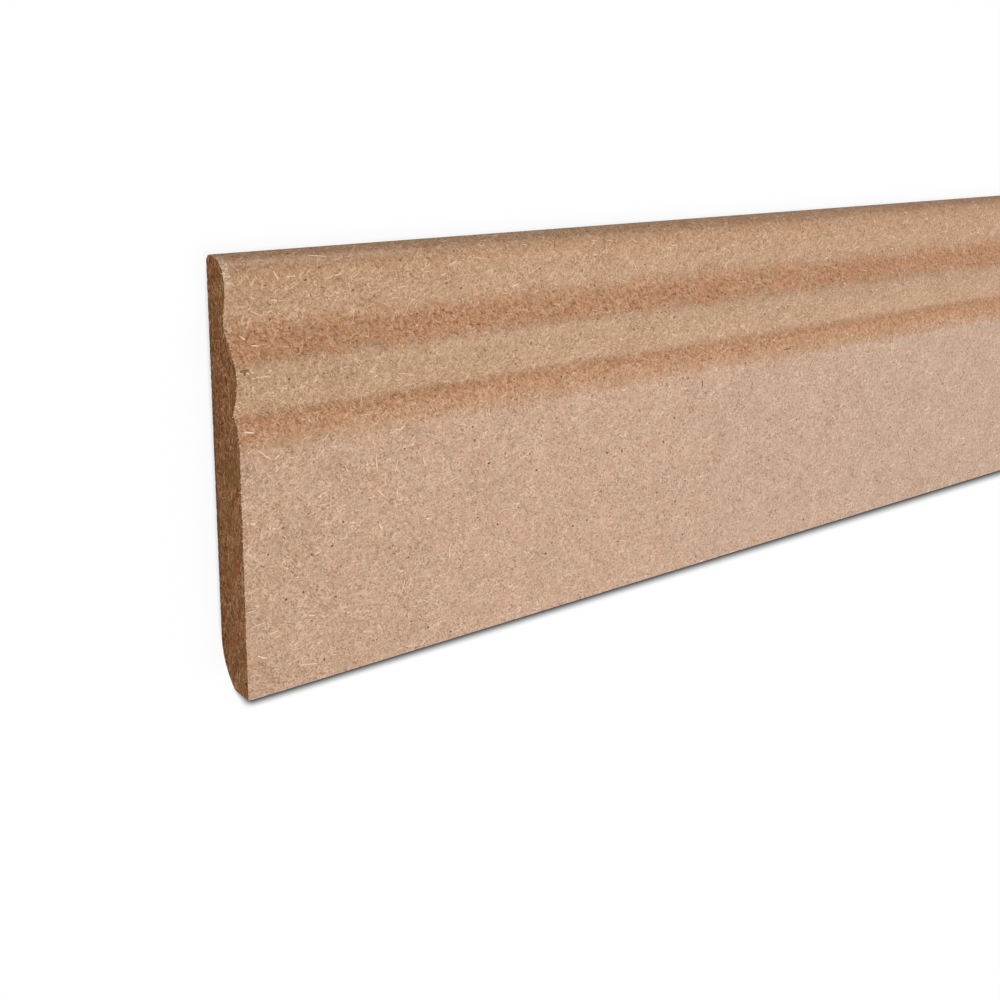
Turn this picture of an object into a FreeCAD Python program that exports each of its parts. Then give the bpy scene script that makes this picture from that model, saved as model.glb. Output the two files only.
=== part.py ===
"""A length of moulded skirting board, one machined strip of fibreboard.

The board lies flat on its back with its face up:
    X runs along the length,
    Y runs across the width, from the plain bottom edge to the moulded top edge,
    Z runs through the thickness, from the back (0) to the face.
The origin is under the middle of the board, in the plane of its back.

The section is drawn once and padded along the whole length, as the moulder cuts it.
From the bottom edge it runs up the flat face, over the lip and into the quirk, across
the bulge and down the ogee's slope into the cove, over the bead, round the top edge and
back down the rear, whose bottom corner is rounded so that the board can be turned over.
"""
import FreeCAD, Part
import math
import os

import Sketcher

NODE_NAME = "skirting_board"

# The driving sizes in millimetres: an alias, its value and what it measures.
# A "run" is measured across the width and a "drop", "rise" or "depth" through the thickness.
DRIVING_SIZES = (
    ("board_length", 2400.0, "length of the strip"),
    ("board_width", 119.0, "bottom edge to top edge"),
    ("board_thickness", 14.5, "back to flat face"),
    ("lip_run", 8.5, "end of the flat face to the bottom of the quirk"),
    ("quirk_depth", 3.2, "bottom of the quirk below the face"),
    ("bulge_run", 9.0, "bottom of the quirk to the crest of the bulge"),
    ("crest_setback", 0.3, "crest of the bulge below the face"),
    ("bulge_radius", 9.0, "bulge, where it turns into the slope"),
    ("ogee_run", 9.6, "slope, between its two sharp corners"),
    ("ogee_drop", 6.2, "crest of the bulge to the bottom of the cove"),
    ("cove_radius", 7.4, "hollow of the ogee"),
    ("cove_from_top", 15.6, "bottom of the cove to the top edge"),
    ("bead_rise", 1.15, "top of the bead above the bottom of the cove"),
    ("shoulder_radius", 10.0, "side of the bead that meets the cove"),
    ("top_round_radius", 6.0, "bead into the top edge"),
    ("back_arris_radius", 1.8, "top edge into the back"),
    ("back_round_radius", 18.0, "rounded lower corner of the back"),
    ("back_round_run", 14.2, "bottom edge to where the back starts to round"),
    ("heel_radius", 2.0, "rounded corner into the bottom edge"),
)

ORIGIN = -1      # the sketch's own origin, as constraints name it
X_AXIS = -1      # the sketch's horizontal axis
START = 1
END = 2
CENTRE = 3


def make_sheet(doc):
    """Write the driving sizes into a spreadsheet, one row each, under their aliases."""
    sheet = doc.addObject("Spreadsheet::Sheet", "sizes")
    for row, (alias, value, meaning) in enumerate(DRIVING_SIZES, start=1):
        sheet.set(f"A{row}", alias)
        sheet.set(f"B{row}", str(value))
        sheet.setAlias(f"B{row}", alias)
        sheet.set(f"C{row}", meaning)
    doc.recompute()
    return sheet


def section_points(sheet):
    """Work out where the stretches of the section meet, as points on the sketch plane.

    Across the width everything is counted from the top edge, and through the thickness
    from the face, because both the cutter's fence and its depth stop work from there.
    """
    top = sheet.board_width / 2
    bottom = -top
    face = sheet.board_thickness

    slope_angle = math.atan2(sheet.ogee_drop, sheet.ogee_run)
    cove_tangent = sheet.cove_radius * math.tan(slope_angle / 2)
    bulge_tangent = sheet.bulge_radius * math.tan(slope_angle / 2)
    rise_y = math.cos(slope_angle)
    rise_z = math.sin(slope_angle)

    crest_z = face - sheet.crest_setback
    cove_z = crest_z - sheet.ogee_drop
    bead_z = cove_z + sheet.bead_rise

    cove_y = top - sheet.cove_from_top
    lower_corner_y = cove_y - cove_tangent
    upper_corner_y = lower_corner_y - sheet.ogee_run
    crest_y = upper_corner_y - bulge_tangent
    quirk_y = crest_y - sheet.bulge_run
    quirk_z = face - sheet.quirk_depth
    face_end_y = quirk_y - sheet.lip_run

    # Two arcs of given radii that touch, their far ends level and bead_rise apart.
    radii = sheet.cove_radius + sheet.shoulder_radius
    shoulder_run = math.sqrt(2 * radii * sheet.bead_rise - sheet.bead_rise**2)
    cove_share = sheet.cove_radius / radii

    # The heel's arc lies inside the back round and touches it and the bottom edge.
    round_centre = FreeCAD.Vector(bottom + sheet.back_round_run, sheet.back_round_radius, 0)
    between = sheet.back_round_radius - sheet.heel_radius
    across = sheet.back_round_run - sheet.heel_radius
    heel_centre = round_centre - FreeCAD.Vector(across, math.sqrt(between**2 - across**2), 0)
    heel_start = round_centre + (heel_centre - round_centre) * (sheet.back_round_radius / between)

    def at(y, z):
        return FreeCAD.Vector(y, z, 0)

    return {
        "bottom_front": at(bottom, face),
        "face_end": at(face_end_y, face),
        "quirk": at(quirk_y, quirk_z),
        "crest": at(crest_y, crest_z),
        "upper_corner": at(upper_corner_y, crest_z),
        "slope_start": at(upper_corner_y + bulge_tangent * rise_y, crest_z - bulge_tangent * rise_z),
        "slope_end": at(lower_corner_y - cove_tangent * rise_y, cove_z + cove_tangent * rise_z),
        "lower_corner": at(lower_corner_y, cove_z),
        "cove": at(cove_y, cove_z),
        "cove_end": at(cove_y + shoulder_run * cove_share, cove_z + sheet.bead_rise * cove_share),
        "bead_start": at(cove_y + shoulder_run, bead_z),
        "bead_end": at(top - sheet.top_round_radius, bead_z),
        "top_front": at(top, bead_z - sheet.top_round_radius),
        "top_back": at(top, sheet.back_arris_radius),
        "back_top": at(top - sheet.back_arris_radius, 0),
        "back_bottom": at(round_centre.x, 0),
        "round_centre": round_centre,
        "heel_start": heel_start,
        "heel_centre": heel_centre,
        "bottom_back": at(bottom, heel_centre.y),
    }


def arc_radius(run, rise):
    """Radius of an arc that starts level and reaches a point a run away and a rise off."""
    return (run**2 + rise**2) / (2 * rise)


def arc_between(first, last, centre):
    """Arc that turns clockwise from first to last, the way a convex stretch runs."""
    radius = first.distanceToPoint(centre)
    start = math.atan2(last.y - centre.y, last.x - centre.x)
    end = math.atan2(first.y - centre.y, first.x - centre.x)
    circle = Part.Circle(centre, FreeCAD.Vector(0, 0, 1), radius)
    return Part.ArcOfCircle(circle, start, end)


def draw_section(sketch, sheet):
    """Draw the closed section in its place and return each stretch's number by name."""
    point = section_points(sheet)

    def below(name, distance):
        return point[name] + FreeCAD.Vector(0, -distance, 0)

    lip_radius = arc_radius(sheet.lip_run, sheet.quirk_depth)
    flank_radius = arc_radius(sheet.bulge_run, sheet.quirk_depth - sheet.crest_setback)
    arris = FreeCAD.Vector(-sheet.back_arris_radius, 0, 0)
    stretches = (
        ("face", Part.LineSegment(point["bottom_front"], point["face_end"])),
        ("lip", arc_between(point["face_end"], point["quirk"], below("face_end", lip_radius))),
        ("flank", arc_between(point["quirk"], point["crest"], below("crest", flank_radius))),
        ("bulge", arc_between(point["crest"], point["slope_start"], below("crest", sheet.bulge_radius))),
        ("slope", Part.LineSegment(point["slope_start"], point["slope_end"])),
        ("cove", arc_between(point["cove_end"], point["slope_end"], below("cove", -sheet.cove_radius))),
        ("shoulder", arc_between(point["cove_end"], point["bead_start"],
                                 below("bead_start", sheet.shoulder_radius))),
        ("bead", Part.LineSegment(point["bead_start"], point["bead_end"])),
        ("top_round", arc_between(point["bead_end"], point["top_front"],
                                  below("bead_end", sheet.top_round_radius))),
        ("top", Part.LineSegment(point["top_front"], point["top_back"])),
        ("arris", arc_between(point["top_back"], point["back_top"], point["top_back"] + arris)),
        ("back", Part.LineSegment(point["back_top"], point["back_bottom"])),
        ("back_round", arc_between(point["back_bottom"], point["heel_start"], point["round_centre"])),
        ("heel", arc_between(point["heel_start"], point["bottom_back"], point["heel_centre"])),
        ("bottom", Part.LineSegment(point["bottom_back"], point["bottom_front"])),
    )
    number = {name: sketch.addGeometry(shape, False) for name, shape in stretches}
    for name in ("upper_corner", "lower_corner"):
        number[name] = sketch.addGeometry(Part.Point(point[name]), True)
    return number


def join_stretches(sketch, number):
    """Join the stretches end to end: smoothly, but for the quirk and the bottom front arris."""
    # A sketch's arcs run anticlockwise, so along this outline a convex arc is met at its END.
    smooth = (
        ("face", END, "lip", END),
        ("flank", START, "bulge", END),
        ("bulge", START, "slope", START),
        ("slope", END, "cove", START),
        ("cove", END, "shoulder", END),
        ("shoulder", START, "bead", START),
        ("bead", END, "top_round", END),
        ("top_round", START, "top", START),
        ("top", END, "arris", END),
        ("arris", START, "back", START),
        ("back", END, "back_round", END),
        ("back_round", START, "heel", END),
        ("heel", START, "bottom", START),
    )
    sharp = (
        ("lip", START, "flank", END),
        ("bottom", END, "face", START),
    )
    for first, first_end, second, second_end in smooth:
        sketch.addConstraint(Sketcher.Constraint(
            "Tangent", number[first], first_end, number[second], second_end))
    for first, first_end, second, second_end in sharp:
        sketch.addConstraint(Sketcher.Constraint(
            "Coincident", number[first], first_end, number[second], second_end))
    for level in ("face", "bead"):
        sketch.addConstraint(Sketcher.Constraint("Horizontal", number[level]))
    for upright in ("top", "bottom"):
        sketch.addConstraint(Sketcher.Constraint("Vertical", number[upright]))
    sketch.addConstraint(Sketcher.Constraint("PointOnObject", number["back"], START, X_AXIS))
    sketch.addConstraint(Sketcher.Constraint("PointOnObject", number["back"], END, X_AXIS))

    # The crest is level: the bulge's centre is straight below it.
    sketch.addConstraint(Sketcher.Constraint(
        "Vertical", number["bulge"], END, number["bulge"], CENTRE))
    # The slope's sharp corners lie on its line, level with the crest and the cove's bottom.
    for corner in ("upper_corner", "lower_corner"):
        sketch.addConstraint(Sketcher.Constraint(
            "PointOnObject", number[corner], START, number["slope"]))
    sketch.addConstraint(Sketcher.Constraint(
        "Horizontal", number["upper_corner"], START, number["bulge"], END))


def size_section(sketch, number):
    """Give the section its dimensions and bind each of them to the spreadsheet."""

    def measure(name, expression, kind, *where):
        index = sketch.addConstraint(Sketcher.Constraint(kind, *where, current_value(kind, where)))
        sketch.renameConstraint(index, name)
        sketch.setExpression(f"Constraints.{name}", expression)

    def place(geometry, end):
        if geometry == ORIGIN:
            return FreeCAD.Vector(0, 0, 0)
        return sketch.getPoint(geometry, end)

    def current_value(kind, where):
        if kind == "Radius":
            return sketch.Geometry[where[0]].Radius
        gap = place(where[2], where[3]) - place(where[0], where[1])
        return gap.x if kind == "DistanceX" else gap.y

    face = number["face"]
    top = number["top"]
    crest = (number["bulge"], END)
    quirk = (number["flank"], END)
    cove_centre = (number["cove"], CENTRE)
    upper_corner = (number["upper_corner"], START)
    lower_corner = (number["lower_corner"], START)

    measure("half_width_up", "sizes.board_width / 2", "DistanceX", ORIGIN, START, top, START)
    measure("half_width_down", "sizes.board_width / 2", "DistanceX", face, START, ORIGIN, START)
    measure("thickness", "sizes.board_thickness", "DistanceY", ORIGIN, START, face, START)
    measure("lip_across", "sizes.lip_run", "DistanceX", face, END, *quirk)
    measure("quirk_down", "sizes.quirk_depth", "DistanceY", *quirk, face, END)
    measure("bulge_across", "sizes.bulge_run", "DistanceX", *quirk, *crest)
    measure("crest_down", "sizes.crest_setback", "DistanceY", *crest, face, END)
    measure("slope_across", "sizes.ogee_run", "DistanceX", *upper_corner, *lower_corner)
    measure("slope_down", "sizes.ogee_drop", "DistanceY", *lower_corner, *crest)
    measure("cove_in", "sizes.cove_from_top", "DistanceX", *cove_centre, top, START)
    measure("cove_centre_up", "sizes.cove_radius", "DistanceY", *lower_corner, *cove_centre)
    measure("bead_up", "sizes.bead_rise", "DistanceY", *lower_corner, number["bead"], START)
    measure("back_round_in", "sizes.back_round_run", "DistanceX", face, START, number["back"], END)
    measure("bulge_round", "sizes.bulge_radius", "Radius", number["bulge"])
    measure("cove_round", "sizes.cove_radius", "Radius", number["cove"])
    measure("shoulder_round", "sizes.shoulder_radius", "Radius", number["shoulder"])
    measure("top_round_over", "sizes.top_round_radius", "Radius", number["top_round"])
    measure("arris_round", "sizes.back_arris_radius", "Radius", number["arris"])
    measure("back_round_over", "sizes.back_round_radius", "Radius", number["back_round"])
    measure("heel_round", "sizes.heel_radius", "Radius", number["heel"])


def make_board(doc, sheet):
    """Pad the section along the board's length, the same way from the middle to both ends."""
    body = doc.addObject("PartDesign::Body", NODE_NAME)
    body.Label = NODE_NAME
    cross_plane = next(plane for plane in body.Origin.OriginFeatures if plane.Role == "YZ_Plane")

    section = body.newObject("Sketcher::SketchObject", "moulding_section")
    section.AttachmentSupport = [(cross_plane, "")]
    section.MapMode = "FlatFace"
    number = draw_section(section, sheet)
    join_stretches(section, number)
    size_section(section, number)
    doc.recompute()

    strip = body.newObject("PartDesign::Pad", "strip")
    strip.Profile = section
    strip.SideType = "Symmetric"
    strip.setExpression("Length", "sizes.board_length")
    body.Tip = strip
    doc.recompute()
    return body, section


def check_document(doc, body, section, sheet):
    """Stop with a plain message where anything in the document failed or came out wrong."""
    for obj in doc.Objects:
        if "Invalid" in obj.State or "Error" in obj.State:
            raise RuntimeError(f"{obj.Name} failed: {obj.State}")
    if section.solve() != 0 or not section.FullyConstrained:
        raise RuntimeError("the section is not fully set by its dimensions")
    shape = body.Shape
    if shape.isNull() or not shape.isValid() or len(shape.Solids) != 1:
        raise RuntimeError("the board is not one sound solid")
    box = shape.BoundBox
    wanted = (sheet.board_length, sheet.board_width, sheet.board_thickness)
    for found, size in zip((box.XLength, box.YLength, box.ZLength), wanted):
        if abs(found - size) > 0.001:
            raise RuntimeError(f"the board measures {found:.3f} where it should be {size:.3f}")


def main():
    doc = FreeCAD.newDocument("skirting")
    sheet = make_sheet(doc)
    body, section = make_board(doc, sheet)
    check_document(doc, body, section, sheet)

    section_area = body.Shape.Volume / sheet.board_length
    print(f"section {section_area:.1f} mm2, volume {body.Shape.Volume / 1e6:.4f} litres")
    os.makedirs("parts", exist_ok=True)
    body.Shape.exportStep(os.path.join("parts", body.Label + ".step"))


main()
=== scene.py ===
# %% [markdown]
# # A length of moulded skirting board
#
# The object is one strip of raw fibreboard with a moulding cut along its top edge.
# A plain solid of that shape looks like plastic. What makes it fibreboard is small:
# a mat of short fibres that lie in every direction, a few pale or dark ones that stand
# out, arrises that the saw has torn a little, and cut surfaces that are browner than
# the sanded face. The frame's model fixes the size and the place, so it is loaded first.

# %% Load the model
import math
import random

import bmesh
import bpy
from mathutils import Matrix, Vector, kdtree, noise


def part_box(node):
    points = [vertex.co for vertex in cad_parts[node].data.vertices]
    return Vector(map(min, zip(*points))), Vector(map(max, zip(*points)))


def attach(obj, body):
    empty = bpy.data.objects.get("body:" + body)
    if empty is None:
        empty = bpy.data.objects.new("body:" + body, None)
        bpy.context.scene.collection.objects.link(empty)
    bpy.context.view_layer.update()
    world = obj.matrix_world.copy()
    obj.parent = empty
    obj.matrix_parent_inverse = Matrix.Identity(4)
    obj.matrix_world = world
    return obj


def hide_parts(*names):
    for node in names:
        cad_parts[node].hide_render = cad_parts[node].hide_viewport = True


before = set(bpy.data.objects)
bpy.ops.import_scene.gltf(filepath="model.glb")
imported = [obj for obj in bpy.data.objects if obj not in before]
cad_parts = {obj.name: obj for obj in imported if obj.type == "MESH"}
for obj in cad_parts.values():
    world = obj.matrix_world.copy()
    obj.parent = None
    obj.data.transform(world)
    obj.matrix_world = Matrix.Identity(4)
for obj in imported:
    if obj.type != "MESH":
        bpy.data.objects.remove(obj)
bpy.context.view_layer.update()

MM = 0.001
low_corner, high_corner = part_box("skirting_board")
LEFT, BOTTOM, BACK = low_corner
RIGHT, TOP, FACE = high_corner
print(f"board {(RIGHT - LEFT) / MM:.0f} x {(TOP - BOTTOM) / MM:.0f} x {(FACE - BACK) / MM:.1f} mm")

# %% [markdown]
# ## Camera
#
# The board lies on its back and the camera looks down on its left end. A camera could be
# turned by angles until the picture looks right. It is surer to state where it stands,
# which way it looks and which way is up, and to build the turn from those, because each
# number then means something on the real set. The place is counted from the lower left
# corner of the board's back.

# %% Place the camera
CAMERA_FROM_CORNER = Vector((-149.38, 169.42, 299.70)) * MM
CAMERA_LOOK = Vector((0.6018, -0.3270, -0.7286))
CAMERA_UP = Vector((0.1818, 0.9445, -0.2738))
FOCAL_LENGTH_IN_PICTURE_WIDTHS = 1.2995


def facing(place, look, up):
    """Matrix for an object whose own -Z is to look along a direction, with +Y upwards."""
    right = look.cross(up).normalized()
    upright = right.cross(look).normalized()
    turn = Matrix((right, upright, -look.normalized())).transposed()
    return Matrix.Translation(place) @ turn.to_4x4()


camera = bpy.data.objects.new("camera", bpy.data.cameras.new("camera"))
camera.data.lens = camera.data.sensor_width * FOCAL_LENGTH_IN_PICTURE_WIDTHS
camera.data.clip_start = 0.01
camera.matrix_world = facing(
    Vector((LEFT, BOTTOM, BACK)) + CAMERA_FROM_CORNER, CAMERA_LOOK, CAMERA_UP)
bpy.context.scene.collection.objects.link(camera)
bpy.context.scene.camera = camera
print(f"camera lens {camera.data.lens:.1f} mm")

# %% [markdown]
# ## Light and floor
#
# Raw fibreboard is matt, so it needs soft light with one clear side, or the moulding
# goes flat. A sky that is white all over gives half of the light. A wide sun gives the
# other half, from the side of the bottom edge and the right end: the slopes that face
# the top edge turn away from it, and so does the sawn end. A sun keeps a long board as
# bright at one end as at the other, which a lamp near it would not.

# %% Light the set
SKY_STRENGTH = 0.52
SUN_STRENGTH = 1.68
SUN_SPREAD = math.radians(34)
SUN_TOWARDS = Vector((-0.24, 0.44, -0.87))

bpy.context.scene.view_settings.view_transform = "Standard"

sun = bpy.data.objects.new("sun", bpy.data.lights.new("sun", "SUN"))
sun.data.energy = SUN_STRENGTH
sun.data.angle = SUN_SPREAD
sun.matrix_world = facing(Vector((0, 0, 2)), SUN_TOWARDS, Vector((0, 0, 1)))
bpy.context.scene.collection.objects.link(sun)


class Graph:
    """Adds shader nodes to a tree. Each call returns the new node's output socket."""

    def __init__(self, tree):
        self.tree = tree
        tree.nodes.clear()

    def add(self, kind, inputs=(), **settings):
        """Add a node, set its settings and fill its inputs, given by name or number."""
        node = self.tree.nodes.new(kind)
        for name, value in settings.items():
            setattr(node, name, value)
        for name, value in dict(inputs).items():
            if isinstance(value, bpy.types.NodeSocket):
                self.tree.links.new(value, node.inputs[name])
            else:
                node.inputs[name].default_value = value
        return node

    def math(self, operation, first, second=0.0):
        return self.add("ShaderNodeMath", {0: first, 1: second}, operation=operation).outputs[0]

    def vector(self, operation, first, second=(0, 0, 0)):
        return self.add("ShaderNodeVectorMath", {0: first, 1: second}, operation=operation).outputs[0]

    def scale(self, vector, factor):
        node = self.add("ShaderNodeVectorMath", {0: vector, "Scale": factor}, operation="SCALE")
        return node.outputs[0]

    def axes(self, vector):
        return self.add("ShaderNodeSeparateXYZ", {0: vector}).outputs

    def ease(self, value, start, end, low=0.0, high=1.0):
        """Go softly from low to high while the value goes from start to end."""
        inputs = {"Value": value, 1: start, 2: end, 3: low, 4: high}
        return self.add("ShaderNodeMapRange", inputs, interpolation_type="SMOOTHSTEP").outputs[0]

    def blend(self, factor, first, second, how="MIX"):
        inputs = {0: factor, 6: first, 7: second}
        node = self.add("ShaderNodeMix", inputs, data_type="RGBA", blend_type=how)
        return node.outputs[2]


def seen_directly(graph):
    """1 for the rays that see a surface, straight or in a reflection, and 0 for light's own."""
    path = graph.add("ShaderNodeLightPath")
    seen = graph.math("MAXIMUM", path.outputs["Is Camera Ray"], path.outputs["Is Glossy Ray"])
    return graph.math("MAXIMUM", seen, path.outputs["Is Transmission Ray"])


world = bpy.data.worlds.new("sky")
bpy.context.scene.world = world
world.use_nodes = True
sky = Graph(world.node_tree)
sky_strength = sky.add("ShaderNodeMapRange", {"Value": seen_directly(sky), 3: SKY_STRENGTH, 4: 1.0})
sky_light = sky.add("ShaderNodeBackground", {"Color": (1, 1, 1, 1), "Strength": sky_strength.outputs[0]})
sky.add("ShaderNodeOutputWorld", {"Surface": sky_light.outputs[0]})
print("sun and sky placed")

# %% [markdown]
# The floor is plain and white. A white that comes from more light would burn the board
# out, so the floor glows a little instead, and only for the rays that look at it. The
# part that does not glow is an ordinary matt surface, which holds the board's soft
# shadow and throws light back under its edges. In the photograph a second lamp, above the
# moulded edge, throws a short dark shadow along the bottom edge. A real lamp there would
# flatten the moulding, so that one shadow is put into the floor itself: a narrow band
# that starts under the board, runs beside it and fades away from it. It widens with the
# distance from the left end, as that shadow does, and all round the board the floor is a
# little darker where the two touch.

# %% Lay the floor
FLOOR_SIZE = 8.0
FLOOR_DROP = 0.1 * MM
FLOOR_GLOW = 0.94
SHADOW_LINE = 8.5 * MM
SHADOW_START, SHADOW_END, SHADOW_DARKNESS = -0.3 * MM, 3.4 * MM, 0.96
SHADOW_SPREAD, SHADOW_SPREAD_PER_METRE, WIDEST_SPREAD = 0.871, 1.43, 1.6
SHADOW_END_GAP, SHADOW_END_REACH = 0.7 * MM, 0.5 * MM
SHADOW_SLANT_START, SHADOW_SLANT_FULL = 0.46, 0.88
OPENING_START, OPENING_FULL = 2.2 * MM, 6.0 * MM
SHADOW_TOP_GAP = 5.0 * MM
CONTACT_START, CONTACT_END, CONTACT_DARKNESS = -0.2 * MM, 1.0 * MM, 0.2
TOUCH_START, TOUCH_FULL = 8.0 * MM, 20.0 * MM
TOP_TOUCH_LENGTH, TOP_TOUCH = 10.0 * MM, 0.25


def matt_material(name):
    """A new material with an empty node tree, and the graph that fills it."""
    material = bpy.data.materials.new(name)
    material.use_nodes = True
    return material, Graph(material.node_tree)


def mesh_object(bm, name, *materials):
    """Turn a finished bmesh into an object at the origin."""
    mesh = bpy.data.meshes.new(name)
    bm.to_mesh(mesh)
    bm.free()
    for material in materials:
        mesh.materials.append(material)
    obj = bpy.data.objects.new(name, mesh)
    bpy.context.scene.collection.objects.link(obj)
    return obj


floor_paint, graph = matt_material("floor_white")
paint = graph.add("ShaderNodeBsdfDiffuse", {"Color": (0.86, 0.86, 0.86, 1)})
x, y, _ = graph.axes(graph.add("ShaderNodeTexCoord").outputs["Object"])
# Painted shadow beside the bottom edge, cut off on a slant at each end.
spread = graph.math("MULTIPLY", graph.math("SUBTRACT", x, LEFT), SHADOW_SPREAD_PER_METRE)
spread = graph.math("MINIMUM", graph.math("ADD", spread, SHADOW_SPREAD), WIDEST_SPREAD)
beyond = graph.math("DIVIDE", graph.math("SUBTRACT", BOTTOM - SHADOW_LINE, y), spread)
beside = graph.ease(beyond, SHADOW_START, SHADOW_END, 1.0, 0.0)
inwards = graph.math("SUBTRACT", RIGHT - SHADOW_END_GAP, graph.math("ABSOLUTE", x))
outwards = graph.math("MAXIMUM", graph.math("SUBTRACT", BOTTOM, y), 0.0)
slant = graph.math("DIVIDE", inwards, graph.math("ADD", outwards, SHADOW_END_REACH))
lengthwise = graph.ease(slant, SHADOW_SLANT_START, SHADOW_SLANT_FULL)
opening = graph.ease(outwards, OPENING_START, OPENING_FULL)
opening = graph.math("MAXIMUM", opening, graph.ease(inwards, OPENING_START, OPENING_FULL))
lengthwise = graph.math("MULTIPLY", lengthwise, opening)
near_side = graph.math("LESS_THAN", y, TOP - SHADOW_TOP_GAP)
shadow = graph.math("MULTIPLY", graph.math("MULTIPLY", beside, lengthwise), near_side)
# Painted contact shadow: a thin darker rim on the floor round the board, left out near the bottom edge and
# faint along the top.
away_x = graph.math("SUBTRACT", graph.math("ABSOLUTE", x), RIGHT)
away_y = graph.math("SUBTRACT", graph.math("ABSOLUTE", y), TOP)
away = graph.math("MAXIMUM", away_x, away_y)
contact_shadow = graph.ease(away, CONTACT_START, CONTACT_END, CONTACT_DARKNESS, 0.0)
touches = graph.ease(y, BOTTOM + TOUCH_START, BOTTOM + TOUCH_FULL)
contact_shadow = graph.math("MULTIPLY", contact_shadow, touches)
near_top = graph.ease(y, TOP - TOP_TOUCH_LENGTH, TOP, 1.0, TOP_TOUCH)
contact_shadow = graph.math("MULTIPLY", contact_shadow, near_top)
darkness = graph.math("MAXIMUM", graph.math("MULTIPLY", shadow, SHADOW_DARKNESS), contact_shadow)
floor_white = graph.blend(darkness, (1, 1, 1, 1), (0, 0, 0, 1))
bright_paint = graph.add("ShaderNodeBsdfDiffuse", {"Color": floor_white})
glow = graph.add("ShaderNodeEmission", {"Color": floor_white, "Strength": 1.0})
seen_floor = graph.add("ShaderNodeMixShader", {0: FLOOR_GLOW, 1: bright_paint.outputs[0], 2: glow.outputs[0]})
floor_mix = graph.add(
    "ShaderNodeMixShader", {0: seen_directly(graph), 1: paint.outputs[0], 2: seen_floor.outputs[0]})
graph.add("ShaderNodeOutputMaterial", {"Surface": floor_mix.outputs[0]})

bm = bmesh.new()
bmesh.ops.create_grid(bm, x_segments=1, y_segments=1, size=FLOOR_SIZE / 2)
bmesh.ops.translate(bm, verts=bm.verts[:], vec=(0, 0, BACK - FLOOR_DROP))
floor = mesh_object(bm, "floor", floor_paint)
print("floor laid")

# %% [markdown]
# ## The section
#
# A moulder cuts the board with cutters whose edges are arcs and straights that run into
# each other. The outline is drawn in the same way: a pen goes once round the section,
# with a straight run as an extruded vertex and an arc as a spun one. The frame's own mesh
# has the right shape, but its arcs are coarse facets, which show as stripes of light on a
# moulding seen this close. So the outline is drawn again here from the same sizes, with
# finer steps.

# %% Work out the section's sizes
LIP_RUN, QUIRK_DEPTH = 8.5 * MM, 3.2 * MM
BULGE_RUN, CREST_SETBACK = 9.0 * MM, 0.3 * MM
OGEE_RUN, OGEE_DROP = 9.6 * MM, 6.2 * MM
COVE_FROM_TOP, BEAD_RISE = 15.6 * MM, 1.15 * MM
BULGE_RADIUS, COVE_RADIUS, SHOULDER_RADIUS = 9.0 * MM, 7.4 * MM, 10.0 * MM
TOP_ROUND_RADIUS, BACK_ARRIS_RADIUS = 6.0 * MM, 1.8 * MM
BACK_ROUND_RADIUS, BACK_ROUND_RUN, HEEL_RADIUS = 18.0 * MM, 14.2 * MM, 2.0 * MM
FRONT_ARRIS_RADIUS = 0.3 * MM

slope_angle = math.atan2(OGEE_DROP, OGEE_RUN)
CREST_Z = FACE - CREST_SETBACK
COVE_Z = CREST_Z - OGEE_DROP
BEAD_Z = COVE_Z + BEAD_RISE
COVE_Y = TOP - COVE_FROM_TOP
SLOPE_FOOT_Y = COVE_Y - COVE_RADIUS * math.sin(slope_angle)
CREST_Y = COVE_Y - OGEE_RUN - (COVE_RADIUS + BULGE_RADIUS) * math.tan(slope_angle / 2)
QUIRK_Y = CREST_Y - BULGE_RUN
QUIRK_Z = FACE - QUIRK_DEPTH
FACE_END_Y = QUIRK_Y - LIP_RUN
print(f"face ends at {(FACE_END_Y - BOTTOM) / MM:.1f}, quirk at {(QUIRK_Y - BOTTOM) / MM:.1f} mm")

# %% Draw the outline with a pen
ARC_STEP = 0.45 * MM
FLAT_STEP = 0.5 * MM
QUIRK_SOFTENING, QUIRK_SMOOTHINGS = 1.8 * MM, 16


class Pen:
    """Draws an outline across the board's left end, one stretch after another."""

    def __init__(self, y, z):
        self.bm = bmesh.new()
        self.tip = self.bm.verts.new((LEFT, y, z))

    def run(self, y, z):
        """Draw a straight run to a point."""
        made = bmesh.ops.extrude_vert_indiv(self.bm, verts=[self.tip])
        start = self.tip.co.copy()
        self.tip = made["verts"][0]
        bmesh.ops.translate(self.bm, verts=[self.tip], vec=Vector((LEFT, y, z)) - start)

    def turn(self, y, z, angle):
        """Swing the tip about a centre, clockwise where the angle is negative."""
        centre = Vector((LEFT, y, z))
        steps = max(2, math.ceil((self.tip.co - centre).length * abs(angle) / ARC_STEP))
        made = bmesh.ops.spin(
            self.bm, geom=[self.tip], cent=centre, axis=(1, 0, 0), angle=angle, steps=steps)
        self.tip = next(item for item in made["geom_last"] if isinstance(item, bmesh.types.BMVert))


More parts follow.
